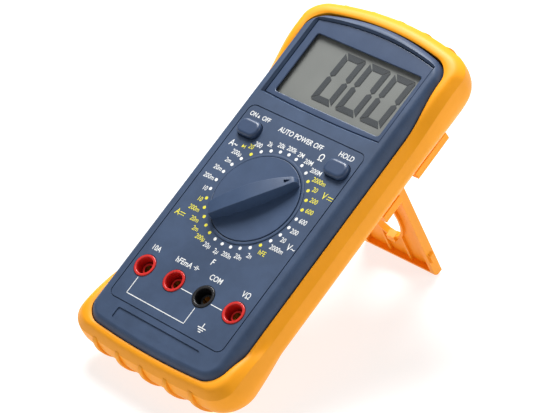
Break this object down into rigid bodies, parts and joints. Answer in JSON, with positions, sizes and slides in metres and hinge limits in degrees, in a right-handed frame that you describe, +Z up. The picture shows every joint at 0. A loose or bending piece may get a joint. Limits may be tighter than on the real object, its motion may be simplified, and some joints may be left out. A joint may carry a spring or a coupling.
{
  "type": "digital multimeter",
  "caption": "Handheld digital multimeter in a yellow-orange rubber holster, leaning on its fold-out stand, with a rotary range knob, push buttons, lead jacks and a digital display.",
  "frame": {"origin": "centre of the bounding box, on the surface that the meter stands on", "axes": "+Z up; +X to the right as one faces the display; -Y towards the user. The face leans back 33.5 degrees from horizontal about X."},
  "size_m": [0.1026, 0.1746, 0.1287],
  "materials": {
    "holster_rubber": "satin moulded rubber",
    "stand_plastic": "satin moulded plastic",
    "case_plastic": "fine-grained moulded plastic",
    "knob_plastic": "fine-grained moulded plastic",
    "button_plastic": "smooth moulded plastic",
    "clear_window": "clear polished acrylic",
    "lcd_glass": "polarised glass, grey-green",
    "dark_plastic": "moulded plastic",
    "zebra_rubber": "elastomer strip",
    "circuit_board": "solder mask",
    "brass": "bright",
    "steel": "plated",
    "shunt_wire": "bare wire",
    "fuse_body": "ceramic",
    "battery_case": "printed jacket",
    "red_jack": "smooth",
    "black_jack": "smooth",
    "red_wire": "insulation",
    "black_wire": "insulation"
  },
  "bodies": {
    "meter": {"battery": "battery_case", "battery_cover": "case_plastic", "battery_cover_screw": "steel", "battery_lead_black": "black_wire", "battery_lead_red": "red_wire", "battery_snap": "dark_plastic", "board_screw_1": "steel", "board_screw_2": "steel", "board_screw_3": "steel", "buzzer": "dark_plastic", "case_screw_1": "steel", "case_screw_2": "steel", "case_screw_3": "steel", "case_screw_4": "steel", "converter_chip": "dark_plastic", "current_shunt": "shunt_wire", "display_bezel": "case_plastic", "display_window": "clear_window", "electrolytic_capacitor": "dark_plastic", "front_case": "case_plastic", "fuse_clip_milliamp_1": "brass", "fuse_clip_milliamp_2": "brass", "fuse_clip_ten_amp_1": "brass", "fuse_clip_ten_amp_2": "brass", "fuse_milliamp": "fuse_body", "fuse_ten_amp": "fuse_body", "hold_switch": "dark_plastic", "holster": "holster_rubber", "jack_sleeve_common": "black_jack", "jack_sleeve_milliamp": "red_jack", "jack_sleeve_ten_amp": "red_jack", "jack_sleeve_volt_ohm": "red_jack", "jack_socket_common": "brass", "jack_socket_milliamp": "brass", "jack_socket_ten_amp": "brass", "jack_socket_volt_ohm": "brass", "lcd_glass": "lcd_glass", "lcd_holder": "dark_plastic", "main_board": "circuit_board", "power_switch": "dark_plastic", "rear_case": "case_plastic", "trimmer": "dark_plastic", "zebra_strip_lower": "zebra_rubber", "zebra_strip_upper": "zebra_rubber"},
    "dial": {"range_knob": "knob_plastic", "switch_rotor": "dark_plastic", "wiper_1": "brass", "wiper_2": "brass", "wiper_3": "brass", "detent_ball_left": "steel", "detent_ball_right": "steel", "detent_spring_left": "steel", "detent_spring_right": "steel"},
    "power_key": {"power_button": "button_plastic", "power_plunger": "dark_plastic"},
    "hold_key": {"hold_button": "button_plastic", "hold_plunger": "dark_plastic"},
    "stand": {"stand": "stand_plastic"}
  },
  "joints": [
    {"name": "range_dial", "type": "hinge", "parent": "meter", "child": "dial", "pos_m": [0, -0.01552, 0.07306], "axis": [0, -0.5519, 0.8339], "continuous": true},
    {"name": "power_press", "type": "slide", "parent": "meter", "child": "power_key", "axis": [0, 0.5519, -0.8339], "range_m": [0, 0.002], "stiffness_N_per_m": 300, "springref_m": -0.0005},
    {"name": "hold_press", "type": "slide", "parent": "meter", "child": "hold_key", "axis": [0, 0.5519, -0.8339], "range_m": [0, 0.0015], "stiffness_N_per_m": 300, "springref_m": -0.0005},
    {"name": "stand_hinge", "type": "hinge", "parent": "meter", "child": "stand", "pos_m": [0, 0.04989, 0.06754], "axis": [1, 0, 0], "range_deg": [-82, 0]}
  ]
}
